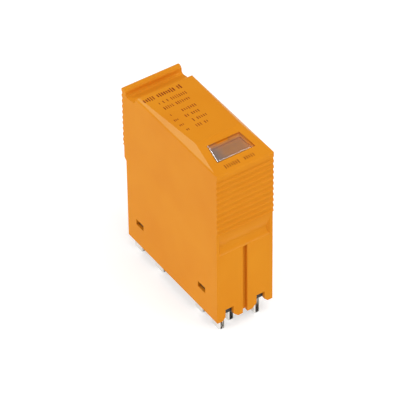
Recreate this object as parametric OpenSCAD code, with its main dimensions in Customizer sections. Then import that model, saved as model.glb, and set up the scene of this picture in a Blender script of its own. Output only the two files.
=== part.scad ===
// Plug-in surge arrester module, one DIN module wide.
// A ribbed hood with a finger lip closes over a contact carrier that holds folded blade contacts.
// Millimetres, +Z up, origin under the middle of the hood on the plane of the contact noses.

/* [Hood] */
// Width across the two long sides
hood_w = 17.8; // [17.2:0.1:20]
// Length between the two ribbed ends
hood_l = 45; // [43:0.1:50]
// Height from the lower rim to the straight shoulder of the long sides
hood_h = 51.8; // [50:0.1:60]
// Wall thickness of the long sides
side_wall = 1.1; // [0.9:0.05:1.15]
// Wall thickness of the ends
end_wall = 1; // [0.8:0.05:1.1]
// Wall thickness of the roof
roof_wall = 1.6; // [1.2:0.05:2]
// Radius on the upright corners
corner_r = 0.15; // [0.1:0.05:0.9]

/* [Roof] */
// Height of the roof ridge above the shoulder
ridge_rise = 1.8; // [1.2:0.05:2.6]
// Distance of the ridge from the near end
ridge_from_end = 12.5; // [12.4:0.1:16]
// Height of the back of the roof above the shoulder
back_rise = 0.6; // [0.2:0.05:1]
// Radius on the near edge and the back edge of the roof
roof_edge_r = 0.6; // [0.3:0.05:0.9]
// Radius on the lower edges of the shoulders
shoulder_r = 0.8; // [0.4:0.1:1.2]

/* [Finger lip] */
// Radius of the rounded lip at the far end
lip_r = 1.05; // [0.8:0.05:1.3]
// Height of the lip's axis below the shoulder
lip_drop = 1.4; // [1.2:0.05:1.8]
// Distance from the far end to the back edge of the roof
channel_l = 7.7; // [6:0.1:9]
// Depth of the finger channel below the shoulder, at the lip
channel_depth = 2.6; // [2.2:0.05:3]
// Radius between the lip and the channel's floor
channel_r = 0.9; // [0.4:0.05:1.1]
// Rise of the channel's floor towards the roof
channel_rise = 0.6; // [0.2:0.05:1]
// Length of the ramp from the channel up to the roof
ramp_l = 1.5; // [0.8:0.1:2]

/* [Grip ribs] */
// Number of finger grooves on each end
rib_count = 10; // [6:1:10]
// Distance from groove to groove
rib_pitch = 1.9; // [1.6:0.02:1.96]
// Depth of a groove
rib_depth = 0.4; // [0.2:0.05:0.5]
// Flat land left between two grooves
rib_land = 0.5; // [0.3:0.05:0.8]
// Distance from the shoulder to the middle of the first groove
brow_h = 2.3; // [1.5:0.1:3]

/* [Near end] */
// Height of the scoop's lower edge above the rim
scoop_z = 23.7; // [22.6:0.1:24.2]
// Height of the scoop
scoop_h = 6.9; // [5:0.1:7.2]
// Depth of the scoop
scoop_depth = 0.9; // [0.5:0.05:1.2]
// Height of the scoop's deepest line above its lower edge
scoop_heel = 2.4; // [1.2:0.1:2.8]
// Distance from the long sides to the scoop's ends
scoop_inset = 0.8; // [0.6:0.1:2]
// Width of the key groove
key_w = 1.45; // [1:0.05:2]
// Depth of the key groove
key_depth = 1; // [0.5:0.05:1.2]
// Height of the key groove's top above the rim
key_h = 23.5; // [18:0.1:23.6]
// Width of a rim notch
notch_w = 2.6; // [2:0.1:3]
// Height of a rim notch
notch_h = 3.7; // [3:0.1:4.5]
// Distance of a rim notch's middle from the middle of the end
notch_x = 5; // [4.8:0.05:5.4]
// Lead-in chamfer at the foot of a rim notch
notch_lead = 1; // [0.4:0.05:1]
// How far the middle tab reaches below the rim
tab_drop = 0.4; // [0.2:0.05:0.8]

/* [Far end] */
// Height of the step in the far end above the rim
step_z = 27.4; // [26:0.1:28.6]
// Depth of that step
step_depth = 0.9; // [0.5:0.05:1.1]

/* [Latches] */
// Distance of a latch from the middle between the latches
latch_y = 14.9; // [14:0.1:15.5]
// Distance of that middle from the middle of the long side, towards the lip
latch_mid = 0.3; // [0:0.1:0.5]
// Height of a latch window's middle above the rim
latch_z = 7.6; // [7:0.1:9]
// Length of a latch window
latch_l = 3.5; // [2.6:0.1:4]
// Height of a latch window
latch_h = 1.9; // [1.4:0.05:2.2]
// Thickness of a latch finger
finger_t = 0.8; // [0.6:0.05:0.9]
// How far a latch nose reaches into its window
latch_reach = 0.35; // [0.2:0.05:0.8]

/* [Window] */
// Width of the window at its front edge
window_w = 11.7; // [9:0.1:13]
// Length of the window along the front slope
window_l = 6; // [5:0.1:6.8]
// Distance from the near edge to the window
window_front = 4.3; // [3.5:0.05:5]
// Thickness of the window below the slope
window_t = 0.7; // [0.5:0.05:1.2]
// How far the window stands proud of the slope
window_proud = 0.3; // [0.2:0.05:0.5]
// Chamfer on the window's upper edges
window_chamfer = 0.15; // [0.1:0.05:0.2]
// Width of the ledge that carries the window's front and sides
ledge_w = 0.4; // [0.3:0.05:0.8]
// Width of the ledge that carries the window's back
back_ledge = 0.9; // [0.6:0.05:1.2]
// Depth of the pocket below the window
pocket_depth = 0.5; // [0.3:0.05:0.9]
// Width of the pry notch in the window's back edge
pry_w = 4; // [3:0.1:5]
// Length of the pry notch
pry_l = 0.8; // [0.5:0.05:1]
// Distance of the pry notch from the middle, towards the left side
pry_x = 0.7; // [0:0.1:1.5]

/* [Contacts] */
// How far the contact noses reach below the rim
contact_reach = 4.5; // [3:0.1:5.2]
// Width of a folded contact
contact_w = 2; // [1.8:0.05:2.1]
// Length of a contact along the hood
contact_l = 3.4; // [3:0.1:3.8]
// Thickness of the contact sheet
contact_sheet = 0.45; // [0.35:0.05:0.6]
// Corner radius of a contact's nose, seen from the side
nose_r = 1.1; // [0.7:0.05:1.3]
// Clearance between the left row of contacts and the wall
row_gap = 0.15; // [0.1:0.05:0.2]
// Distance of the right row from the left row
row_spacing = 11.3; // [10.5:0.1:11.4]
// Distance of the earth contact from the left row
earth_offset = 4; // [3.8:0.1:4.3]
// How far the earth contact is set back from the first pair
earth_setback = 1.6; // [1:0.1:2]
// Pitch of the two contacts at the near end
near_pitch = 8.1; // [7.5:0.1:9]
// Pitch of the two contacts at the far end
far_pitch = 10.2; // [9:0.1:11]
// Width of a solder tail
tail_w = 1.2; // [0.8:0.1:1.6]
// How far a solder tail stands above its board
tail_proud = 0.8; // [0.5:0.1:1.2]

/* [Carrier and boards] */
// Height of the carrier's underside above the rim
carrier_z = 1.2; // [0.8:0.1:1.8]
// Thickness of the carrier's plate
carrier_t = 2.2; // [1.8:0.1:2.6]
// Thickness of both circuit boards
board_t = 1.6; // [1:0.1:1.8]
// Length of each tab that joins the upright board to the contact board
tab_l = 6; // [4:0.5:8]
// Distance of those tabs from the middle
tab_y = 9; // [7:0.5:11]
// Clearance between pieces that fit together
fit = 0.1; // [0.05:0.01:0.15]

/* [Parts on the upright board] */
// Diameter of a gas discharge tube
tube_d = 5; // [4:0.1:5.5]
// Length of a gas discharge tube
tube_l = 8; // [7:0.1:9]
// Diameter of the tube's leads
lead_d = 0.8; // [0.6:0.05:1]
// Height of the tubes above the upright board's foot
tube_z = 10; // [7:0.5:14]
// Length of a decoupling resistor
resistor_l = 6.3; // [5:0.1:7]
// Width of a decoupling resistor
resistor_w = 3.2; // [2.5:0.1:3.6]
// Thickness of a decoupling resistor
resistor_t = 0.7; // [0.5:0.05:1]
// Height of the resistors above the upright board's foot
resistor_z = 20; // [16:0.5:24]
// Length of a suppressor diode's body
diode_l = 4.6; // [4:0.1:5.5]
// Width of a suppressor diode's body
diode_w = 3.8; // [3:0.1:4.2]
// Thickness of a suppressor diode's body
diode_t = 2.3; // [1.8:0.1:2.8]
// Height of the diodes above the upright board's foot
diode_z = 30; // [27:0.5:34]
// Distance from part to part along the upright board
part_pitch = 9; // [8:0.1:9.5]

/* [Hidden] */
$fn = 48;
over = 1;
half_w = hood_w / 2;
half_l = hood_l / 2;
inner_w = hood_w - 2 * side_wall;
plain_y = half_l - rib_depth;
far_low_y = plain_y - step_depth;
near_inner = -plain_y + end_wall;
far_inner = far_low_y - end_wall;
channel_z = hood_h - channel_depth;
ceiling = channel_z - roof_wall;
rib_top = hood_h - brow_h;
rib_foot = rib_top - (rib_count - 1) * rib_pitch - rib_pitch / 2;
groove_w = rib_pitch - rib_land;
groove_r = arc_r(groove_w / 2, rib_depth);
groove_y = half_l + groove_r - rib_depth;
slope = atan2(ridge_rise, ridge_from_end);
ridge_y = -half_l + ridge_from_end;
roof_back = half_l - channel_l;
// The near face of the lip, and where its rounded foot runs into the channel's floor.
lip_face = half_l - 2 * lip_r;
lip_root = lip_face - channel_r;

// The sides of the window run parallel with the upper edges of the shoulders.
window_taper = sin(slope);
window_back = window_front + window_l;
pocket_floor = -window_t - pocket_depth;

// The flank of the scoop starts with a slight bend, and the wall behind it thickens inwards.
flank_lead = 0.5;
backing_z = scoop_z - end_wall;
backing_y = -plain_y + scoop_depth + end_wall;
key_pad_y = -plain_y + key_depth + end_wall;

row_left = -inner_w / 2 + row_gap + contact_w / 2;
row_right = row_left + row_spacing;
near_1 = near_inner + row_gap + contact_l / 2;
near_2 = near_1 + near_pitch;
far_gap = 2 * row_gap;
far_2 = far_inner - far_gap - contact_l / 2;
far_1 = far_2 - far_pitch;
contact_y = [near_1, near_2, far_1, far_2];
contact_top = contact_reach + carrier_z;

carrier_top = carrier_z + carrier_t;
board_z = carrier_top;
foot_z = board_z + board_t;
slide_fit = 2 * fit;
end_fit = 3 * fit;
board_half_w = inner_w / 2 - finger_t - slide_fit;
board_near = near_inner + end_fit;
board_far = far_inner - end_fit;
upright_near = backing_y + slide_fit;
upright_far = far_inner - slide_fit;
upright_top = ceiling - slide_fit;
stop_w = 1.6;
latch_ys = [latch_mid - latch_y, latch_mid + latch_y];
stop_y = latch_y / 3;
nose_land = latch_h / 4;
guide_wall = 1;
guide_depth = 1.2;
guide_z = backing_z + guide_depth;
part_y = [-1.5 * part_pitch, -0.5 * part_pitch, 0.5 * part_pitch, 1.5 * part_pitch];
tube_y = [-part_pitch, part_pitch];
ring_l = tube_l / 6;
ring_step = 0.2;
lead_pitch = (tube_l - ring_l) / 2;
cap_t = 0.1;
lead_t = 0.2;
foot_l = 0.5;
draft = 0.25;

orange = [0.898, 0.592, 0.196];
black = [0.12, 0.12, 0.13];
tin = [0.86, 0.86, 0.84];
clear = [0.85, 0.83, 0.80, 0.4];
board_green = [0.11, 0.36, 0.22];
pale_ceramic = [0.93, 0.90, 0.84];

// Helpers

// Heights in the hood are measured from its rim.
module from_rim() {
    translate([0, 0, contact_reach]) children();
}

// A profile drawn in Y and Z, extruded across the width between two X values.
module across(x0, x1) {
    translate([x0, 0, 0]) rotate([90, 0, 90]) linear_extrude(height = x1 - x0) children();
}

// A profile drawn in X and Z, extruded along the length between two Y values.
module along(y0, y1) {
    translate([0, y1, 0]) rotate([90, 0, 0]) linear_extrude(height = y1 - y0) children();
}

module block(low, high) {
    translate(low) cube(high - low);
}

// An upright block over the full width with rounded corners.
module rounded_block(y0, y1, z0, z1) {
    block([-half_w + corner_r, y0, z0], [half_w - corner_r, y1, z1]);
    block([-half_w, y0 + corner_r, z0], [half_w, y1 - corner_r, z1]);
    for (x = [-half_w + corner_r, half_w - corner_r], y = [y0 + corner_r, y1 - corner_r])
        translate([x, y, z0]) cylinder(r = corner_r, h = z1 - z0);
}

// Radius of an arc that bends away from its tangent by d over a length l.
function arc_r(l, d) = (l * l + d * d) / (2 * d);

// Trims the convex corner p of a profile to radius r, between its edges towards a and b.
module corner_trim(p, a, b, r) {
    u = (a - p) / norm(a - p);
    v = (b - p) / norm(b - p);
    half_angle = acos(u * v) / 2;
    middle = p + (u + v) / norm(u + v) * r / sin(half_angle);
    foot_u = p + u * r / tan(half_angle);
    foot_v = p + v * r / tan(half_angle);
    out_u = (foot_u - middle) / r * over;
    out_v = (foot_v - middle) / r * over;
    difference() {
        polygon([middle, foot_u + out_u, p + out_u + out_v, foot_v + out_v]);
        translate(middle) circle(r = r);
    }
}

// The front slope of the roof: X across, Y up the slope from the near edge, Z out of it.
module on_slope() {
    translate([0, -half_l, hood_h]) rotate([slope, 0, 0]) children();
}

// Hood

// Outline of the roof, the ramp, the finger channel and the lip, seen from the long side.
module roof_profile() {
    front = [-half_l, hood_h];
    ridge = [ridge_y, hood_h + ridge_rise];
    back = [roof_back, hood_h + back_rise];
    ramp = [roof_back + ramp_l, channel_z + channel_rise];
    lip = [half_l - lip_r, hood_h - lip_drop];
    difference() {
        union() {
            polygon([
                [-half_l - over, -over], [half_l + over, -over], [half_l + over, lip.y],
                [lip_face, lip.y], [lip_face, channel_z], [lip_root, channel_z],
                ramp, back, ridge, [-half_l - over, hood_h - over * tan(slope)]]);
            translate(lip) circle(r = lip_r);
            lip_foot();
        }
        corner_trim(front, [-half_l, 0], ridge, roof_edge_r);
        corner_trim(back, ridge, ramp, roof_edge_r);
        for (side = [-1, 1], i = [0:rib_count - 1])
            translate([side * groove_y, rib_top - i * rib_pitch]) circle(r = groove_r);
    }
}

// Hollow foot of the lip on the channel's floor.
module lip_foot() {
    difference() {
        translate([lip_root, channel_z - over]) square([channel_r + lip_r, channel_r + over]);
        translate([lip_root, channel_z + channel_r]) circle(r = channel_r);
    }
}

// Outline that cuts both shoulders at 45 degrees above the shoulder line.
module shoulder_profile() {
    rise = ridge_rise + over;
    difference() {
        polygon([
            [-half_w - over, -over], [half_w + over, -over],
            [half_w + over, hood_h - over], [half_w - rise, hood_h + rise],
            [-half_w + rise, hood_h + rise], [-half_w - over, hood_h - over]]);
        for (side = [-1, 1])
            corner_trim([side * half_w, hood_h], [side * half_w, 0], [0, hood_h + half_w], shoulder_r);
    }
}

// The ribbed upper part, the plain band below it and the lower part, which is stepped in at the far end.
module hood_blocks() {
    step_foot = step_z - step_depth;
    rounded_block(-half_l, half_l, rib_foot, hood_h + ridge_rise + over);
    difference() {
        rounded_block(-plain_y, plain_y, step_foot, rib_foot + over);
        across(-half_w - over, half_w + over)
            polygon([
                [far_low_y - over, step_foot - over], [plain_y + over, step_foot - over],
                [plain_y + over, step_z + over]]);
    }
    rounded_block(-plain_y, far_low_y, 0, step_foot + over);
    middle_tab();
}

// Tab between the two rim notches, with lead-in chamfers.
module middle_tab() {
    tab_w = notch_x - notch_w / 2;
    along(-plain_y, near_inner)
        polygon([
            [-tab_w, notch_lead], [-tab_w + notch_lead, -tab_drop],
            [tab_w - notch_lead, -tab_drop], [tab_w, notch_lead]]);
}

// Space inside the walls: lower behind the window and under the channel, higher in the middle.
module cavity() {
    ridge_room = hood_h + back_rise - roof_wall;
    difference() {
        across(-inner_w / 2, inner_w / 2)
            polygon([
                [near_inner, -over], [near_inner, backing_z], [backing_y, backing_z], [backing_y, ceiling],
                [ridge_y, ceiling], [ridge_y, ridge_room], [roof_back - roof_wall, ridge_room],
                [roof_back - roof_wall, ceiling], [far_inner, ceiling], [far_inner, -over]]);
        key_pad();
        board_guides();
        stop_ribs();
    }
}

// Wall behind the key groove.
module key_pad() {
    pad_w = key_w + 2 * end_wall;
    block([-pad_w / 2, near_inner - over, -over], [pad_w / 2, key_pad_y, key_h + end_wall]);
}

// Grooved ribs inside both ends, which hold the edges of the upright board.
module board_guides() {
    guide_w = board_t + 2 * fit + 2 * guide_wall;
    slot_w = board_t + 2 * fit;
    top = ceiling + over;
    difference() {
        union() {
            block([-guide_w / 2, backing_y - over, guide_z], [guide_w / 2, backing_y + guide_depth, top]);
            block([-guide_w / 2, far_inner - guide_depth, guide_z], [guide_w / 2, far_inner + over, top]);
        }
        block([-slot_w / 2, backing_y, guide_z - over], [slot_w / 2, far_inner, top + over]);
    }
}

// Upright ribs inside the long sides, whose feet stop the carrier.
module stop_ribs() {
    rib_t = finger_t - fit;
    for (side = [-1, 1], y = [-stop_y, stop_y])
        block([side * inner_w / 2 - rib_t, y - stop_w / 2, carrier_top],
              [side * inner_w / 2 + rib_t, y + stop_w / 2, ceiling + over]);
}

// Scoop below the ribs of the near end: a flank that bends inwards, a hollow heel and slanted ends.
module scoop() {
    half = half_w - scoop_inset;
    deep = half - scoop_depth;
    translate([0, -plain_y, 0]) intersection() {
        across(-half_w, half_w) scoop_profile();
        linear_extrude(height = hood_h)
            polygon([
                [-half - over, -over], [half + over, -over], [deep, scoop_depth], [-deep, scoop_depth]]);
    }
}

// Side view of the scoop, measured from the plain face of the end.
module scoop_profile() {
    crease_z = scoop_z + scoop_heel;
    top_z = scoop_z + scoop_h;
    flank_z = top_z + flank_lead;
    bend = flank_z - crease_z;
    flank_x = (scoop_depth * scoop_depth + bend * bend - flank_lead * flank_lead) / (2 * scoop_depth);
    flank_r = sqrt(flank_x * flank_x + flank_lead * flank_lead);
    heel_r = arc_r(scoop_heel, scoop_depth);
    difference() {
        translate([-over, scoop_z]) square([over + scoop_depth, scoop_h]);
        translate([flank_x, flank_z]) circle(r = flank_r);
        difference() {
            translate([-fit, scoop_z - over]) square([scoop_depth + over, scoop_heel + over]);
            translate([scoop_depth - heel_r, crease_z]) circle(r = heel_r);
        }
    }
}

module key_groove() {
    block([-key_w / 2, -plain_y - over, -tab_drop - over], [key_w / 2, -plain_y + key_depth, key_h]);
}

// Rim notch with a lead-in on both sides of its foot.
module rim_notch() {
    along(-half_l - over, near_inner + fit)
        polygon([
            [-notch_w / 2, notch_h], [-notch_w / 2, notch_lead], [-notch_w / 2 - notch_lead - over, -over],
            [notch_w / 2 + notch_lead + over, -over], [notch_w / 2, notch_lead], [notch_w / 2, notch_h]]);
}

module latch_window(side) {
    block([side * half_w - side_wall - over, -latch_l / 2, latch_z - latch_h / 2],
          [side * half_w + side_wall + over, latch_l / 2, latch_z + latch_h / 2]);
}

// Outline on the slope between two distances from the near edge, grown by g beyond the window's sides.
function window_half(u, g) = window_w / 2 - (u - window_front) * window_taper + g;
function window_outline(front, back, g) = [
    [-window_half(front, g), front], [window_half(front, g), front],
    [window_half(back, g), back], [-window_half(back, g), back]];

// A plate with a given outline, between two heights above the slope.
module window_plate(outline, low, high) {
    translate([0, 0, low]) linear_extrude(height = high - low) polygon(outline);
}

// Seat of the window with its ledges, and the pocket below it.
module window_seat() {
    seat = window_outline(window_front - fit, window_back + fit, fit);
    pocket = window_outline(window_front + ledge_w, window_back - back_ledge, -ledge_w);
    on_slope() {
        window_plate(seat, -window_t, window_proud + over);
        window_plate(pocket, pocket_floor, 0);
    }
}

module hood() {
    color(orange) from_rim() difference() {
        intersection() {
            hood_blocks();
            across(-half_w - over, half_w + over) roof_profile();
            along(-half_l - over, half_l + over) shoulder_profile();
        }
        cavity();
        scoop();
        key_groove();
        for (x = [-notch_x, notch_x]) translate([x, 0, 0]) rim_notch();
        for (side = [-1, 1], y = latch_ys) translate([0, y, 0]) latch_window(side);
        window_seat();
    }
}

// Window

// Bar that cuts the chamfer on the window's upper edge from p to q.
module chamfer_bar(p, q) {
    edge = q - p;
    side = window_chamfer * sqrt(2);
    translate([p.x, p.y, window_proud]) rotate([0, 0, atan2(edge.y, edge.x)]) rotate([45, 0, 0])
        translate([-over, -side / 2, -side / 2]) cube([norm(edge) + 2 * over, side, side]);
}

// Cutter of the pry notch in the window's back edge, with the chamfer of the notch's front.
module pry_notch() {
    front = window_back - pry_l;
    across(-pry_x - pry_w / 2, -pry_x + pry_w / 2)
        polygon([
            [front, -window_t - over], [window_back + over, -window_t - over],
            [window_back + over, window_proud + over],
            [front - window_chamfer - over, window_proud + over], [front, window_proud - window_chamfer]]);
}

// Clear pane on the ledges of its seat, with chamfered upper edges and a notch to pry it out.
module window() {
    corners = window_outline(window_front, window_back, 0);
    color(clear) from_rim() on_slope() difference() {
        window_plate(corners, -window_t, window_proud);
        for (i = [0:3]) chamfer_bar(corners[i], corners[(i + 1) % 4]);
        pry_notch();
    }
}

// Contact carrier

// Latch finger with a wedge nose that catches on the lower edge of its window.
module latch_finger(side) {
    root_x = inner_w / 2 - fit - finger_t;
    nose_low = latch_z - latch_h / 2 + fit / 2;
    nose_high = latch_z + latch_h / 2 - fit;
    finger_w = latch_l - slide_fit;
    mirror([side < 0 ? 1 : 0, 0, 0]) along(-finger_w / 2, finger_w / 2)
        polygon([
            [root_x, carrier_top - carrier_t / 2], [root_x + finger_t, carrier_top - carrier_t / 2],
            [root_x + finger_t, nose_low], [root_x + finger_t + latch_reach, nose_low],
            [root_x + finger_t + latch_reach, nose_low + nose_land], [root_x + finger_t, nose_high],
            [root_x, nose_high]]);
}

// Slot for one solder tail, at the place of the tail.
module tail_slot(x, y, side, z0, z1) {
    tail_x = x + side * (contact_w - contact_sheet) / 2;
    block([tail_x - contact_sheet / 2 - fit, y - tail_w / 2 - fit, z0],
          [tail_x + contact_sheet / 2 + fit, y + tail_w / 2 + fit, z1]);
}

module all_tail_slots(z0, z1) {
    for (y = contact_y) {
        tail_slot(row_left, y, 1, z0, z1);
        tail_slot(row_right, y, -1, z0, z1);
    }
    tail_slot(row_left + earth_offset, near_1 + earth_setback, -1, z0, z1);
}

// Room for the wall behind the key groove.
module key_pad_room(z0, z1) {
    room_w = key_w + 2 * end_wall + 2 * fit;
    block([-room_w / 2, near_inner - over, z0], [room_w / 2, key_pad_y + fit, z1]);
}

module contact_carrier() {
    plate_w = inner_w - 2 * fit;
    color(black) from_rim() difference() {
        union() {
            block([-plate_w / 2, near_inner + fit, carrier_z], [plate_w / 2, far_inner - fit, carrier_top]);
            for (side = [-1, 1], y = latch_ys) translate([0, y, 0]) latch_finger(side);
        }
        key_pad_room(carrier_z - over, carrier_top + over);
        all_tail_slots(carrier_z - over, carrier_top + over);
    }
}

// Contacts

// Sheet folded to a U with rounded nose corners; one leg runs on as a solder tail.
// The shoulders of the U stop against the carrier's underside.
module contact(x, y, side) {
    r = contact_w / 2;
    inner_r = r - contact_sheet;
    tail_top = contact_reach + foot_z + tail_proud;
    color(tin) translate([x, y, 0]) {
        intersection() {
            along(-contact_l / 2, contact_l / 2) difference() {
                union() {
                    translate([0, r]) circle(r = r);
                    translate([-r, r]) square([2 * r, contact_top - r]);
                }
                translate([0, r]) circle(r = inner_r);
                translate([-inner_r, r]) square([2 * inner_r, contact_top]);
            }
            across(-contact_w, contact_w) nose_profile();
        }
        block([side * (r - contact_sheet / 2) - contact_sheet / 2, -tail_w / 2, contact_top - over],
              [side * (r - contact_sheet / 2) + contact_sheet / 2, tail_w / 2, tail_top]);
    }
}

// Side view of the folded part: a plate with two rounded lower corners.
module nose_profile() {
    half = contact_l / 2;
    translate([-half + nose_r, 0]) square([contact_l - 2 * nose_r, contact_top]);
    translate([-half, nose_r]) square([contact_l, contact_top - nose_r]);
    for (y = [-half + nose_r, half - nose_r]) translate([y, nose_r]) circle(r = nose_r);
}

module line_contact(i) {
    if (i < 4)
        contact(row_left, contact_y[i], 1);
    else
        contact(row_right, contact_y[i - 4], -1);
}

module earth_contact() {
    contact(row_left + earth_offset, near_1 + earth_setback, -1);
}

// Boards

// Slots of the contact board that take the upright board's tabs.
module tab_slots() {
    for (y = [-tab_y, tab_y])
        block([-board_t / 2 - fit, y - tab_l / 2 - fit, board_z - over],
              [board_t / 2 + fit, y + tab_l / 2 + fit, foot_z + over]);
}

// Flat board on the carrier, soldered to every contact tail.
module contact_board() {
    color(board_green) from_rim() difference() {
        block([-board_half_w, board_near, board_z], [board_half_w, board_far, foot_z]);
        key_pad_room(board_z - over, foot_z + over);
        all_tail_slots(board_z - over, foot_z + over);
        tab_slots();
    }
}

// Upright board in the guides of the hood, with tabs in the contact board and holes for the tube leads.
module upright_board() {
    hole_r = lead_d / 2 + fit;
    color(board_green) from_rim() difference() {
        union() {
            block([-board_t / 2, upright_near, foot_z], [board_t / 2, upright_far, upright_top]);
            for (y = [-tab_y, tab_y])
                block([-board_t / 2, y - tab_l / 2, board_z + fit],
                      [board_t / 2, y + tab_l / 2, foot_z + over]);
        }
        for (y = tube_y, k = [-1:1])
            translate([-board_t, y + k * lead_pitch, foot_z + tube_z]) rotate([0, 90, 0])
                cylinder(r = hole_r, h = 2 * board_t);
    }
}

// Parts on the upright board

// Three-electrode gas discharge tube: rings at both ends and in the middle.
// Each ring has a lead that goes through the board.
module gas_tube(i) {
    waist_r = tube_d / 2 - ring_step;
    tube_x = -board_t / 2 - fit - tube_d / 2;
    color(pale_ceramic) from_rim() translate([tube_x, tube_y[i], foot_z + tube_z]) {
        rotate([90, 0, 0]) cylinder(r = waist_r, h = tube_l, center = true);
        for (k = [-1:1]) {
            translate([0, k * lead_pitch, 0]) {
                rotate([90, 0, 0]) cylinder(r = tube_d / 2, h = ring_l, center = true);
                rotate([0, 90, 0]) cylinder(r = lead_d / 2, h = tube_d / 2 + fit + board_t + tail_proud);
            }
        }
    }
}

// Flat chip resistor with plated ends, flat on the board.
module decoupling_resistor(i) {
    cap_l = resistor_l / 10;
    body_t = resistor_t - cap_t;
    color(black) from_rim() translate([board_t / 2, part_y[i], foot_z + resistor_z]) {
        body_l = resistor_l - cap_l;
        block([0, -body_l / 2, -resistor_w / 2], [body_t, body_l / 2, resistor_w / 2]);
        for (k = [-1, 1]) translate([0, k * body_l / 2, 0])
            block([0, -cap_l / 2, -resistor_w / 2], [resistor_t, cap_l / 2, resistor_w / 2]);
    }
}

// Moulded suppressor diode with drafted sides and a folded lead at each end.
module suppressor_diode(i) {
    lead_w = diode_w / 2;
    mid_x = diode_t / 2;
    end_y = -diode_l / 2;
    toe_y = end_y - foot_l;
    heel_y = end_y + 2 * foot_l;
    color(black) from_rim() translate([board_t / 2, part_y[i], foot_z + diode_z]) {
        translate([0, 0, -diode_w / 2]) linear_extrude(height = diode_w)
            polygon([
                [lead_t, end_y + draft], [mid_x, end_y], [diode_t, end_y + draft],
                [diode_t, -end_y - draft], [mid_x, -end_y], [lead_t, -end_y - draft]]);
        for (k = [0, 1]) mirror([0, k, 0]) translate([0, 0, -lead_w / 2]) linear_extrude(height = lead_w)
            polygon([
                [0, toe_y], [mid_x + lead_t, toe_y], [mid_x + lead_t, end_y + draft], [mid_x, end_y + draft],
                [mid_x, toe_y + lead_t], [lead_t, toe_y + lead_t], [lead_t, heel_y], [0, heel_y]]);
    }
}

hood();
window();
contact_carrier();
contact_board();
upright_board();
line_contact(0);  // line_contact_1
line_contact(1);  // line_contact_2
line_contact(2);  // line_contact_3
line_contact(3);  // line_contact_4
line_contact(4);  // line_contact_5
line_contact(5);  // line_contact_6
line_contact(6);  // line_contact_7
line_contact(7);  // line_contact_8
earth_contact();
gas_tube(0);  // gas_tube_1
gas_tube(1);  // gas_tube_2
decoupling_resistor(0);  // decoupling_resistor_1
decoupling_resistor(1);  // decoupling_resistor_2
decoupling_resistor(2);  // decoupling_resistor_3
decoupling_resistor(3);  // decoupling_resistor_4
suppressor_diode(0);  // suppressor_diode_1
suppressor_diode(1);  // suppressor_diode_2
suppressor_diode(2);  // suppressor_diode_3
suppressor_diode(3);  // suppressor_diode_4
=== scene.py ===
import math

import bmesh
import bpy
from mathutils import Matrix, Quaternion, Vector


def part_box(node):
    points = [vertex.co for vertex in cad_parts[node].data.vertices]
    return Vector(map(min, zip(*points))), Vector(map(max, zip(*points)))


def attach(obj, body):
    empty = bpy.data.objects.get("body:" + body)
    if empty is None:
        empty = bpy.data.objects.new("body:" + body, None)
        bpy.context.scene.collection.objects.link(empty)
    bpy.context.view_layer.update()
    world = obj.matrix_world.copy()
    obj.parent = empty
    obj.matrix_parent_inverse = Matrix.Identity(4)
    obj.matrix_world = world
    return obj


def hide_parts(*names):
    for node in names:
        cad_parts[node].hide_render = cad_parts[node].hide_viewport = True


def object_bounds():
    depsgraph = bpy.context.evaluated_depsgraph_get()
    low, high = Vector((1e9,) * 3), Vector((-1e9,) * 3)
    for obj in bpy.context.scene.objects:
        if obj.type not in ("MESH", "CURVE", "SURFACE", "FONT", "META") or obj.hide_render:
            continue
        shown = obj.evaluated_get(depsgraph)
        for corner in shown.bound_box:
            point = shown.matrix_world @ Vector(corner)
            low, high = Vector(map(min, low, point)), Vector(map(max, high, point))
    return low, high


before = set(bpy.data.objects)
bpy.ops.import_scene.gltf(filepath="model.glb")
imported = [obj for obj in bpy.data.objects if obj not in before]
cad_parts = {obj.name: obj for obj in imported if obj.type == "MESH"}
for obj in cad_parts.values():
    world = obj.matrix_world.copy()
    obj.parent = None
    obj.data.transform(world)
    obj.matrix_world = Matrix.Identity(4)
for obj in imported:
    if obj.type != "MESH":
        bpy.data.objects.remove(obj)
cad_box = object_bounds()

# Line and earth contacts: strips of brass, stamped, folded to a U and tin plated, pushed up
# through the carrier and soldered to the board above it. Tin plate is bright but a little milky,
# with faint rolling lines along the strip and cloudy patches in the plating.

MM = 0.001


def linear(hex_colour):
    """A colour written as sRGB hex, as the linear values that a shader takes."""
    parts = [int(hex_colour[i : i + 2], 16) / 255 for i in (1, 3, 5)]
    return [c / 12.92 if c <= 0.04045 else ((c + 0.055) / 1.055) ** 2.4 for c in parts] + [1]


def add(tree, kind, sockets, **settings):
    """Adds a node with its settings, and sets or links the input sockets that are given."""
    made = tree.nodes.new(kind)
    for name, value in settings.items():
        setattr(made, name, value)
    for name, value in sockets.items():
        if isinstance(value, bpy.types.NodeSocket):
            tree.links.new(value, made.inputs[name])
        else:
            made.inputs[name].default_value = value
    return made


def new_material(name):
    """A material with its node tree, its shader and the object's own coordinates."""
    made = bpy.data.materials.new(name)
    made.use_nodes = True
    tree = made.node_tree
    place = tree.nodes.new("ShaderNodeTexCoord").outputs["Object"]
    return made, tree, tree.nodes["Principled BSDF"], place


def two_tones(tree, fac, dark, light, dark_at=0.3, light_at=0.7):
    """The output of a ramp from a darker to a lighter tone of one colour."""
    ramp = add(tree, "ShaderNodeValToRGB", {"Fac": fac})
    first, last = ramp.color_ramp.elements
    first.position, first.color = dark_at, linear(dark)
    last.position, last.color = light_at, linear(light)
    return ramp.outputs["Color"]


def wire(tree, shader, **sources):
    """Links outputs to the shader's sockets, whose names are given with _ for a space."""
    for name, source in sources.items():
        tree.links.new(source, shader.inputs[name.replace("_", " ").title()])


def finish_solid(node_name, material):
    """Gives a solid of the frame its finish."""
    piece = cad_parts[node_name]
    piece.data.materials.clear()
    piece.data.materials.append(material)


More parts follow.
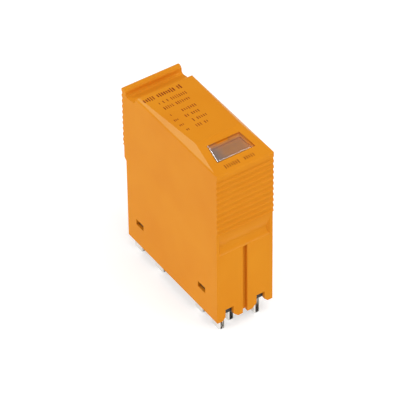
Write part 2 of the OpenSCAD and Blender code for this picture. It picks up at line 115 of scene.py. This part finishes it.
rolling_line = 0.25 * MM
rolling_stretch = 12.5
plating_cloud = 1.6 * MM
tin, tree, shader, place = new_material("tin_plated_brass")
along_strip = add(tree, "ShaderNodeMapping", {"Vector": place, "Scale": (1, 1, 1 / rolling_stretch)})
lines = add(
    tree,
    "ShaderNodeTexNoise",
    {"Vector": along_strip.outputs[0], "Scale": 1 / rolling_line},
)
clouds = add(tree, "ShaderNodeTexNoise", {"Vector": place, "Scale": 1 / plating_cloud, "Detail": 4})
dullness = add(
    tree,
    "ShaderNodeMapRange",
    {"Value": clouds.outputs["Fac"], "To Min": 0.24, "To Max": 0.38},
)
relief = add(
    tree,
    "ShaderNodeBump",
    {"Height": lines.outputs["Fac"], "Strength": 0.15, "Distance": 0.01 * MM},
)
wire(
    tree,
    shader,
    base_color=two_tones(tree, clouds.outputs["Fac"], "#D8D7D3", "#ECEBE8"),
    roughness=dullness.outputs["Result"],
    normal=relief.outputs["Normal"],
)
shader.inputs["Metallic"].default_value = 1.0
for number in range(1, 9):
    finish_solid(f"line_contact_{number}", tin)
finish_solid("earth_contact", tin)

# Contact carrier: a plate of black glass-filled PBT, moulded in one piece with the four latch
# fingers that snap into the hood. It is nearly black, and the glass gives its skin a dull, fine
# mottle.

glass_mottle = 0.4 * MM
black_pbt, tree, shader, place = new_material("black_glass_filled_pbt")
mottle = add(tree, "ShaderNodeTexNoise", {"Vector": place, "Scale": 1 / glass_mottle, "Detail": 3})
dullness = add(
    tree,
    "ShaderNodeMapRange",
    {"Value": mottle.outputs["Fac"], "To Min": 0.42, "To Max": 0.62},
)
relief = add(
    tree,
    "ShaderNodeBump",
    {"Height": mottle.outputs["Fac"], "Strength": 0.3, "Distance": 0.02 * MM},
)
wire(
    tree,
    shader,
    base_color=two_tones(tree, mottle.outputs["Fac"], "#171718", "#2C2B2B"),
    roughness=dullness.outputs["Result"],
    normal=relief.outputs["Normal"],
)
finish_solid("contact_carrier", black_pbt)

# Circuit boards: glass epoxy sheet under green solder mask. The flat one lies on the carrier and
# the upright one stands in it on two tabs. The mask is glossy, and the copper lanes and the glass
# weave under it show through as paler bands and a faint check.

weave_pitch = 0.5 * MM
lane_pitch = 2.4 * MM
solder_mask, tree, shader, place = new_material("green_solder_mask")
weave = add(tree, "ShaderNodeTexChecker", {"Vector": place, "Scale": 1 / weave_pitch})
turned = add(tree, "ShaderNodeMapping", {"Vector": place, "Rotation": (0, math.pi / 2, 0)})
lanes = add(
    tree,
    "ShaderNodeTexBrick",
    {
        "Vector": turned.outputs[0],
        "Scale": 1 / lane_pitch,
        "Color1": linear("#2E8052"),
        "Color2": linear("#277549"),
        "Mortar": linear("#17522F"),
        "Mortar Size": 0.06,
        "Mortar Smooth": 0.1,
    },
)
relief = add(
    tree,
    "ShaderNodeBump",
    {"Height": weave.outputs["Fac"], "Strength": 0.1, "Distance": 0.01 * MM},
)
wire(tree, shader, base_color=lanes.outputs["Color"], normal=relief.outputs["Normal"])
shader.inputs["Roughness"].default_value = 0.3
for board in ("contact_board", "upright_board"):
    finish_solid(board, solder_mask)

# Gas discharge tubes: ceramic sleeves between three nickel plated rings, with a lead from each
# ring through the upright board. The sleeve is chalky white, and all that stands out past the
# sleeve's radius is metal.

ring_step = 0.2 * MM
chalk_grain = 0.6 * MM
low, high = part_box("gas_tube_1")
tube_r = (high.z - low.z) / 2
tube_axis = Vector((low.x + tube_r, 0, low.z + tube_r))
tube_finish, tree, shader, place = new_material("tube_ceramic_with_nickel_rings")
from_axis = add(tree, "ShaderNodeMapping", {"Vector": place, "Location": -tube_axis})
section = add(
    tree,
    "ShaderNodeVectorMath",
    {0: from_axis.outputs[0], 1: (1, 0, 1)},
    operation="MULTIPLY",
)
radius = add(tree, "ShaderNodeVectorMath", {0: section.outputs[0]}, operation="LENGTH")
metal = add(
    tree,
    "ShaderNodeMath",
    {0: radius.outputs["Value"], 1: tube_r - ring_step / 2},
    operation="GREATER_THAN",
)
chalk = add(tree, "ShaderNodeTexNoise", {"Vector": place, "Scale": 1 / chalk_grain, "Detail": 3})
# A Mix node has its factor at input 0, its two colours at inputs 6 and 7 and the mixed colour at output 2.
skin = add(
    tree,
    "ShaderNodeMix",
    {
        0: metal.outputs[0],
        6: two_tones(tree, chalk.outputs["Fac"], "#E6DFD2", "#F4F0E8"),
        7: two_tones(tree, chalk.outputs["Fac"], "#B9B5AD", "#CFCBC4"),
    },
    data_type="RGBA",
)
dullness = add(tree, "ShaderNodeMapRange", {"Value": metal.outputs[0], "To Min": 0.7, "To Max": 0.3})
wire(
    tree,
    shader,
    base_color=skin.outputs[2],
    metallic=metal.outputs[0],
    roughness=dullness.outputs["Result"],
)
for number in (1, 2):
    finish_solid(f"gas_tube_{number}", tube_finish)

# Decoupling resistors: flat chips of alumina with a black glaze and solder plated ends, on the
# right side of the upright board. The glaze is glossy and slightly blue; the ends are bright.


def ends_in_row(tree, place, middle, pitch, reach):
    """1 where a point is further along Y than reach from the middle of its piece in a row, else 0."""
    run = add(tree, "ShaderNodeSeparateXYZ", {0: place})
    shifted = add(
        tree,
        "ShaderNodeMath",
        {0: run.outputs["Y"], 1: middle - pitch / 2},
        operation="SUBTRACT",
    )
    within = add(tree, "ShaderNodeMath", {0: shifted.outputs[0], 1: pitch}, operation="FLOORED_MODULO")
    offset = add(tree, "ShaderNodeMath", {0: within.outputs[0], 1: pitch / 2}, operation="SUBTRACT")
    distance = add(tree, "ShaderNodeMath", {0: offset.outputs[0]}, operation="ABSOLUTE")
    past = add(tree, "ShaderNodeMath", {0: distance.outputs[0], 1: reach}, operation="GREATER_THAN")
    return past.outputs[0]


low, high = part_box("decoupling_resistor_1")
chip_l = high.y - low.y
chip_middle = (low.y + high.y) / 2
chip_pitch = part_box("decoupling_resistor_2")[0].y - low.y
cap_l = chip_l / 10
glaze_grain = 0.5 * MM
resistor_finish, tree, shader, place = new_material("glazed_chip_with_plated_ends")
plated = ends_in_row(tree, place, chip_middle, chip_pitch, chip_l / 2 - cap_l)
grain = add(tree, "ShaderNodeTexNoise", {"Vector": place, "Scale": 1 / glaze_grain})
skin = add(
    tree,
    "ShaderNodeMix",
    {
        0: plated,
        6: two_tones(tree, grain.outputs["Fac"], "#14171C", "#23272E"),
        7: two_tones(tree, grain.outputs["Fac"], "#BDBCB8", "#DAD9D6"),
    },
    data_type="RGBA",
)
wire(tree, shader, base_color=skin.outputs[2], metallic=plated)
shader.inputs["Roughness"].default_value = 0.3
for number in range(1, 5):
    finish_solid(f"decoupling_resistor_{number}", resistor_finish)

# Suppressor diodes: matt black epoxy mouldings with a folded tin lead at each end, above the
# resistors. The parting line is at half thickness, and the leads leave the body there.

low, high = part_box("suppressor_diode_1")
diode_l = high.y - low.y
diode_middle = (low.y + high.y) / 2
diode_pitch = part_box("suppressor_diode_2")[0].y - low.y
foot_l = 0.5 * MM
epoxy_grain = 0.3 * MM
diode_finish, tree, shader, place = new_material("moulded_epoxy_with_tin_leads")
lead = ends_in_row(tree, place, diode_middle, diode_pitch, diode_l / 2 - foot_l)
grain = add(tree, "ShaderNodeTexNoise", {"Vector": place, "Scale": 1 / epoxy_grain, "Detail": 3})
skin = add(
    tree,
    "ShaderNodeMix",
    {
        0: lead,
        6: two_tones(tree, grain.outputs["Fac"], "#1B1B1C", "#2B2B2C"),
        7: two_tones(tree, grain.outputs["Fac"], "#C4C3BF", "#DEDDDA"),
    },
    data_type="RGBA",
)
dullness = add(tree, "ShaderNodeMapRange", {"Value": lead, "To Min": 0.6, "To Max": 0.3})
wire(
    tree,
    shader,
    base_color=skin.outputs[2],
    metallic=lead,
    roughness=dullness.outputs["Result"],
)
for number in range(1, 5):
    finish_solid(f"suppressor_diode_{number}", diode_finish)

# Hood: one moulding of orange polyamide that closes over the boards and snaps on the carrier's
# fingers. The tool was spark eroded, so the skin is satin, with soft highlights on the rounded
# edges and a barely visible drift of tone where the melt flowed.

erosion_grain = 0.35 * MM  # the real grain of about 0.1 mm is too fine to show in the render
melt_flow = 14 * MM
orange_polyamide, tree, shader, place = new_material("orange_polyamide")
flow = add(tree, "ShaderNodeTexNoise", {"Vector": place, "Scale": 1 / melt_flow, "Detail": 2})
erosion = add(tree, "ShaderNodeTexNoise", {"Vector": place, "Scale": 1 / erosion_grain, "Detail": 2})
dullness = add(
    tree,
    "ShaderNodeMapRange",
    {"Value": erosion.outputs["Fac"], "To Min": 0.15, "To Max": 0.22},
)
relief = add(
    tree,
    "ShaderNodeBump",
    {"Height": erosion.outputs["Fac"], "Strength": 0.12, "Distance": 0.02 * MM},
)
wire(
    tree,
    shader,
    base_color=two_tones(tree, flow.outputs["Fac"], "#DC881F", "#E08F23"),
    roughness=dullness.outputs["Result"],
    normal=relief.outputs["Normal"],
)
shader.inputs["IOR"].default_value = 1.53
shader.inputs["Specular IOR Level"].default_value = 0.02
# The tint holds back the red of the gloss, which is a pale yellow on the cut shoulders.
shader.inputs["Specular Tint"].default_value = linear("#8CFFD0")
finish_solid("hood", orange_polyamide)

# Print: rows of short strokes in dark brown ink, pad printed on the roof and on the front slope.
# The ink lies on the plastic as a thin matt film, a little paler where the pad left less of it.

print_film = 0.02 * MM
end_rounding = 0.45
leanest_stroke = (0.8, 0.6, 1)
fullest_stroke = (1.2, 1.1, 1)
ink_blot = 0.7 * MM
brown_ink, tree, shader, place = new_material("pad_print_ink")
blots = add(tree, "ShaderNodeTexNoise", {"Vector": place, "Scale": 1 / ink_blot, "Detail": 2})
wire(tree, shader, base_color=two_tones(tree, blots.outputs["Fac"], "#7E2E10", "#A04A1A"))
shader.inputs["Roughness"].default_value = 0.7
shader.inputs["Specular IOR Level"].default_value = 0.05


def stroke_rows():
    """A Geometry Nodes tree that lays out rows of rounded strokes, with gaps between groups."""
    tree = bpy.data.node_groups.new("stroke_rows", "GeometryNodeTree")
    inputs = {
        "Strokes": ("NodeSocketInt", 12),
        "Rows": ("NodeSocketInt", 1),
        "Row Length": ("NodeSocketFloat", 9 * MM),
        "Block Height": ("NodeSocketFloat", 0.0),
        "Stroke Width": ("NodeSocketFloat", 0.22 * MM),
        "Stroke Height": ("NodeSocketFloat", 1.3 * MM),
        "Film": ("NodeSocketFloat", print_film),
        "Filled Share": ("NodeSocketFloat", 0.8),
        "Seed": ("NodeSocketInt", 1),
        "Ink": ("NodeSocketMaterial", brown_ink),
    }
    for name, (kind, value) in inputs.items():
        tree.interface.new_socket(name, in_out="INPUT", socket_type=kind).default_value = value
    tree.interface.new_socket("Geometry", in_out="OUTPUT", socket_type="NodeSocketGeometry")
    given = tree.nodes.new("NodeGroupInput").outputs
    places = add(
        tree,
        "GeometryNodeMeshGrid",
        {
            "Size X": given["Row Length"],
            "Size Y": given["Block Height"],
            "Vertices X": given["Strokes"],
            "Vertices Y": given["Rows"],
        },
    )
    outline = add(
        tree,
        "GeometryNodeCurvePrimitiveQuadrilateral",
        {"Width": given["Stroke Width"], "Height": given["Stroke Height"]},
    )
    round_ends = add(
        tree,
        "ShaderNodeMath",
        {0: given["Stroke Width"], 1: end_rounding},
        operation="MULTIPLY",
    )
    rounded = add(
        tree,
        "GeometryNodeFilletCurve",
        {"Curve": outline.outputs["Curve"], "Radius": round_ends.outputs[0], "Count": 3},
        mode="POLY",
    )
    face = add(tree, "GeometryNodeFillCurve", {"Curve": rounded.outputs["Curve"]}, mode="NGONS")
    raised = add(
        tree,
        "GeometryNodeExtrudeMesh",
        {"Mesh": face.outputs["Mesh"], "Offset Scale": given["Film"], "Individual": False},
    )
    underside = add(tree, "GeometryNodeFlipFaces", {"Mesh": face.outputs["Mesh"]})
    shell = tree.nodes.new("GeometryNodeJoinGeometry")
    for part in (raised, underside):
        tree.links.new(part.outputs["Mesh"], shell.inputs[0])
    stroke = add(
        tree,
        "GeometryNodeMergeByDistance",
        {"Geometry": shell.outputs[0], "Distance": print_film / 10},
    )
    # A Random Value node gives a vector at output 0 and a yes or no at output 3.
    filled = add(
        tree,
        "FunctionNodeRandomValue",
        {"Probability": given["Filled Share"], "Seed": given["Seed"]},
        data_type="BOOLEAN",
    )
    unevenness = add(
        tree,
        "FunctionNodeRandomValue",
        {0: leanest_stroke, 1: fullest_stroke, "Seed": given["Seed"]},
        data_type="FLOAT_VECTOR",
    )
    laid = add(
        tree,
        "GeometryNodeInstanceOnPoints",
        {
            "Points": places.outputs["Mesh"],
            "Selection": filled.outputs[3],
            "Instance": stroke.outputs["Geometry"],
            "Scale": unevenness.outputs[0],
        },
    )
    solid = add(tree, "GeometryNodeRealizeInstances", {"Geometry": laid.outputs["Instances"]})
    inked = add(
        tree,
        "GeometryNodeSetMaterial",
        {"Geometry": solid.outputs[0], "Material": given["Ink"]},
    )
    result = tree.nodes.new("NodeGroupOutput")
    tree.links.new(inked.outputs[0], result.inputs[0])
    return tree


def tilt_of(start, end):
    """The angle about X of a line of the roof, seen from the side."""
    return math.atan2(end.z - start.z, end.y - start.y)


def print_block(name, line, across, along, **sizes):
    """A block of strokes as a plain mesh, placed along a line of the roof and across the hood."""
    raw = bpy.data.objects.new(name, bpy.data.meshes.new(name))
    scene.collection.objects.link(raw)
    rows = raw.modifiers.new("rows", "NODES")
    rows.node_group = stroke_tree
    for socket in stroke_tree.interface.items_tree:
        size_name = socket.name.lower().replace(" ", "_")
        if socket.in_out == "INPUT" and size_name in sizes:
            rows[socket.identifier] = sizes[size_name]
    made = bpy.data.meshes.new_from_object(raw.evaluated_get(bpy.context.evaluated_depsgraph_get()))
    raw.modifiers.remove(rows)
    raw.data = made
    made.name = name
    start, end = line
    at = start.lerp(end, (along - start.y) / (end.y - start.y)) + Vector((across, 0, 0))
    made.transform(Matrix.Translation(at) @ Matrix.Rotation(tilt_of(start, end), 4, "X"))
    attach(raw, "root")


scene = bpy.context.scene
stroke_tree = stroke_rows()
ridge_rise = 1.8 * MM
ridge_from_end = 12.5 * MM
back_rise = 0.6 * MM
channel_l = 7.7 * MM
low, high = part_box("hood")
near_edge = Vector((0, low.y, high.z - ridge_rise))
ridge = Vector((0, low.y + ridge_from_end, high.z))
back_edge = Vector((0, high.y - channel_l, high.z - ridge_rise + back_rise))
roof = (ridge, back_edge)
front_slope = (near_edge, ridge)
print_block(
    "heading_print",
    roof,
    across=-2.4 * MM,
    along=12.6 * MM,
    strokes=17,
    row_length=11.2 * MM,
    stroke_width=0.34 * MM,
    stroke_height=1.8 * MM,
    filled_share=0.9,
)
print_block(
    "upper_values_print",
    roof,
    across=-1.2 * MM,
    along=8.3 * MM,
    strokes=14,
    rows=2,
    row_length=8.2 * MM,
    block_height=2.5 * MM,
    filled_share=0.75,
    seed=4,
)
print_block(
    "lower_values_print",
    roof,
    across=-0.3 * MM,
    along=-0.1 * MM,
    strokes=8,
    rows=4,
    row_length=4.6 * MM,
    block_height=7.6 * MM,
    filled_share=0.8,
    seed=7,
)
print_block(
    "side_marks_print",
    roof,
    across=-5.6 * MM,
    along=-0.1 * MM,
    strokes=3,
    rows=4,
    row_length=1.0 * MM,
    block_height=7.6 * MM,
    stroke_height=0.9 * MM,
    seed=3,
)
print_block(
    "foot_print",
    front_slope,
    across=-0.9 * MM,
    along=-20.5 * MM,
    strokes=15,
    row_length=9.4 * MM,
    filled_share=0.9,
    seed=2,
)

# Window: a snap-in pane of smoky polycarbonate on ledges over a shallow pocket of the front slope. It
# is polished, so its chamfers catch the lights as white lines. The orange shows through as a greyed
# brown. Towards the left the pane is painted greyer, bluer and more opaque, as a painted reflection and
# painted shade of the pocket wall. Over the right and back ledges it is thinned, as painted light on
# the ledges.

pane_flow = 9 * MM
grey_at = 0.03
brown_at = 0.2
painted_light_rim = 1.9 * MM
rim_edge = 0.4 * MM
seat_gap = 0.03 * MM  # keeps the underside and the ledge out of one plane
low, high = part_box("window")
smoky_pc, tree, shader, place = new_material("smoky_polycarbonate")
flow = add(tree, "ShaderNodeTexNoise", {"Vector": place, "Scale": 1 / pane_flow})
run = add(tree, "ShaderNodeSeparateXYZ", {0: place})
painted_reflection_fade = add(
    tree,
    "ShaderNodeMapRange",
    {"Value": run.outputs["X"], "From Min": low.x, "From Max": high.x},
)
# Towards the left the pane is painted greyer, bluer and more opaque: a painted reflection and painted
# shade of the pocket wall, broken up by random noise.
painted_reflection_drift = add(
    tree,
    "ShaderNodeMath",
    {0: painted_reflection_fade.outputs["Result"], 1: flow.outputs["Fac"]},
    operation="MULTIPLY",
)
smoke_with_painted_reflection = add(
    tree,
    "ShaderNodeMapRange",
    {
        "Value": painted_reflection_drift.outputs[0],
        "From Min": grey_at,
        "From Max": brown_at,
        "To Min": 0.42,
        "To Max": 0.24,
    },
)
smoke = smoke_with_painted_reflection.outputs["Result"]
# The smoke is thinned over the right and back ledges only, so the orange below shows brighter: painted
# light on ledges that the pane itself shades.
for axis, far_end, smoke_left in (("X", high.x, 0.04), ("Y", high.y, 0.25)):
    painted_light_over_ledge = add(
        tree,
        "ShaderNodeMapRange",
        {
            "Value": run.outputs[axis],
            "From Min": far_end - painted_light_rim,
            "From Max": far_end - rim_edge,
            "To Min": 1,
            "To Max": smoke_left,
        },
    )
    thinned = add(
        tree,
        "ShaderNodeMath",
        {0: smoke, 1: painted_light_over_ledge.outputs["Result"]},
        operation="MULTIPLY",
    )
    smoke = thinned.outputs[0]
# The bluish grey at the left end of the ramp is that painted reflection and shade.
wire(
    tree,
    shader,
    base_color=two_tones(tree, painted_reflection_drift.outputs[0], "#737F84", "#857F7A", grey_at, brown_at),
    alpha=smoke,
)
shader.inputs["Roughness"].default_value = 0.15
shader.inputs["IOR"].default_value = 1.58
slope_tilt = tilt_of(*front_slope)
out_of_slope = Vector((0, -math.sin(slope_tilt), math.cos(slope_tilt)))
shape = bmesh.new()
shape.from_mesh(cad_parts["window"].data)
bmesh.ops.remove_doubles(shape, verts=shape.verts, dist=seat_gap / 10)
shape.verts.index_update()
underside = min(corner.co.dot(out_of_slope) for corner in shape.verts)
for corner in shape.verts:
    if corner.co.dot(out_of_slope) < underside + seat_gap:
        corner.co += out_of_slope * seat_gap
pane_mesh = bpy.data.meshes.new("window_pane")
pane_mesh.from_pydata(
    [corner.co for corner in shape.verts],
    [],
    [[corner.index for corner in face.verts] for face in shape.faces],
)
shape.free()
pane_mesh.materials.append(smoky_pc)
pane = bpy.data.objects.new("window_pane", pane_mesh)
scene.collection.objects.link(pane)
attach(pane, "root")
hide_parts("window")

# Floor: a plain sheet of pale, matt paper under the contact noses. It glows a little, so that it
# stays as white as the tent around it.

floor_half = 3.0
floor_mesh = bpy.data.meshes.new("floor")
floor_mesh.from_pydata(
    [(x, y, 0) for x, y in ((-1, -1), (1, -1), (1, 1), (-1, 1))],
    [],
    [(0, 1, 2, 3)],
)
floor_mesh.transform(Matrix.Scale(floor_half, 4))
floor = bpy.data.objects.new("floor", floor_mesh)
scene.collection.objects.link(floor)
pale_paper, tree, shader, place = new_material("pale_paper_sweep")
shader.inputs["Base Color"].default_value = linear("#CFCFCE")
shader.inputs["Roughness"].default_value = 0.9
shader.inputs["Specular IOR Level"].default_value = 0.1
shader.inputs["Emission Color"].default_value = linear("#FFFFFF")
shader.inputs["Emission Strength"].default_value = 0.55
floor_mesh.materials.append(pale_paper)

# Light: an even white tent, with small soft boxes at the back left and the front right, whose
# reflections draw the pale edges, and large ones at the left and overhead, both a little to the front.

tent_strength = 0.42
scene.view_settings.view_transform = "Standard"
tent = bpy.data.worlds.new("white_tent")
tent.use_nodes = True
backdrop = tent.node_tree.nodes["Background"]
backdrop.inputs["Color"].default_value = linear("#FFFFFF")
backdrop.inputs["Strength"].default_value = tent_strength
scene.world = tent
middle = (cad_box[0] + cad_box[1]) / 2


def soft_box(name, towards, distance, side, watts):
    """A square area light that faces the middle of the object."""
    data = bpy.data.lights.new(name, "AREA")
    data.size = side
    data.energy = watts
    lamp = bpy.data.objects.new(name, data)
    direction = Vector(towards).normalized()
    lamp.location = middle + direction * distance
    lamp.rotation_mode = "QUATERNION"
    lamp.rotation_quaternion = direction.to_track_quat("Z", "Y")
    scene.collection.objects.link(lamp)


soft_box("back_left", towards=(-0.66, 0.62, 0.41), distance=1.2, side=0.12, watts=4.0)
soft_box("front_right", towards=(0.41, -0.82, 0.41), distance=1.2, side=0.12, watts=1.8)
soft_box("left", towards=(-0.85, -0.35, 0.5), distance=0.8, side=0.6, watts=0.8)
soft_box("overhead", towards=(0.1, -0.32, 1), distance=0.7, side=0.5, watts=2.4)

# Camera: a long lens, looking down on the near left corner as in the photograph. Its place and turn
# are fitted to the hood's edges there.

view_azimuth = math.radians(-33.41)
view_elevation = math.radians(41.54)
view_roll = math.radians(-0.82)
view_distance = 900 * MM
aim = Vector((-0.1, -1.16, 28.72)) * MM
focal_px = 3390
frame_px = 400
lens = bpy.data.cameras.new("photo_view")
lens.lens = focal_px / frame_px * lens.sensor_width
camera = bpy.data.objects.new("photo_view", lens)
back = Vector(
    (
        math.sin(view_azimuth) * math.cos(view_elevation),
        -math.cos(view_azimuth) * math.cos(view_elevation),
        math.sin(view_elevation),
    )
)
camera.location = aim + back * view_distance
camera.rotation_mode = "QUATERNION"
camera.rotation_quaternion = back.to_track_quat("Z", "Y") @ Quaternion((0, 0, 1), view_roll)
scene.collection.objects.link(camera)
scene.camera = camera
